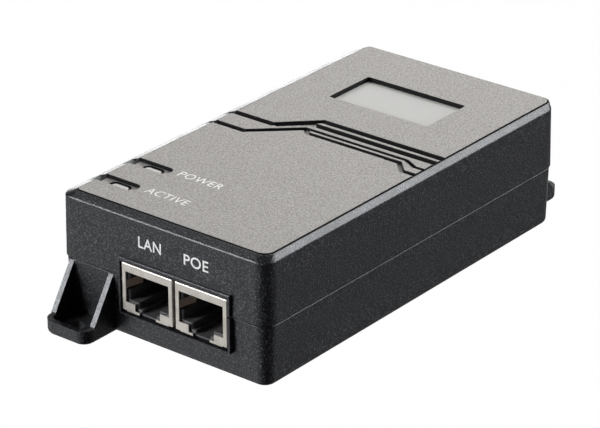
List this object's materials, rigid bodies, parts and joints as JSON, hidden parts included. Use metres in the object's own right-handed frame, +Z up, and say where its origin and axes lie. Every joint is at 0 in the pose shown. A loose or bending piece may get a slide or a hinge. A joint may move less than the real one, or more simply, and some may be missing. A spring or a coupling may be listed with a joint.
{
  "type": "power-over-Ethernet injector",
  "caption": "Mains-powered injector that adds supply current to a network lead: black case, grey top panel, shielded front sockets, rear mains inlet and diagonal screw ears.",
  "frame": {"origin": "centre of the object's bounding box on the plane of its flat underside", "axes": "+X right seen from the socket end, +Y from the socket end to the mains end, +Z up"},
  "size_m": [0.0648, 0.1412, 0.0341],
  "materials": {
    "case_black": "fine spark-eroded texture, satin",
    "panel_grey": "fine speckled texture, matt",
    "label_light": "smooth matt film, blank",
    "shield_nickel": "satin nickel plate",
    "insert_black": "smooth black nylon",
    "contact_gold": "gold flash, polished",
    "light_pipe": "milky clear acrylic",
    "led_body": "clear epoxy",
    "board_green": "solder-mask lacquer",
    "pin_brass": "nickel-flashed brass",
    "screw_steel": "zinc plated",
    "heatsink_alu": "mill finish",
    "ferrite": "sintered ferrite",
    "tape_yellow": "polyester tape",
    "copper_wire": "enamelled copper",
    "film_yellow": "moulded box",
    "disc_blue": "dipped epoxy",
    "sleeve_black": "shrink sleeve",
    "epoxy_black": "moulding compound",
    "fuse_glass": "clear tube",
    "fish_paper": "insulating sheet"
  },
  "bodies": {
    "root": {"bridge_rectifier": "epoxy_black", "bulk_capacitor": "sleeve_black", "case_screw_1": "screw_steel", "case_screw_2": "screw_steel", "case_screw_3": "screw_steel", "case_screw_4": "screw_steel", "common_mode_choke": "copper_wire", "controller_chip": "epoxy_black", "indicator_led_active": "led_body", "indicator_led_power": "led_body", "inlet_housing": "insert_black", "inlet_pin_earth": "pin_brass", "inlet_pin_line": "pin_brass", "inlet_pin_neutral": "pin_brass", "insulating_sheet": "fish_paper", "jack_contacts_lan": "contact_gold", "jack_contacts_poe": "contact_gold", "jack_insert_lan": "insert_black", "jack_insert_poe": "insert_black", "jack_shield_lan": "shield_nickel", "jack_shield_poe": "shield_nickel", "lan_magnetics": "epoxy_black", "light_pipe_active": "light_pipe", "light_pipe_power": "light_pipe", "lower_case": "case_black", "main_board": "board_green", "mains_fuse": "fuse_glass", "optocoupler": "epoxy_black", "output_capacitor_1": "sleeve_black", "output_capacitor_2": "sleeve_black", "output_inductor": "copper_wire", "output_rectifier": "epoxy_black", "primary_heatsink": "heatsink_alu", "primary_transistor": "epoxy_black", "rating_label": "label_light", "secondary_heatsink": "heatsink_alu", "surge_varistor": "disc_blue", "top_panel": "panel_grey", "transformer_core": "ferrite", "transformer_winding": "tape_yellow", "upper_case": "case_black", "window_label": "label_light", "x_capacitor": "film_yellow", "y_capacitor": "disc_blue"}
  },
  "joints": []
}
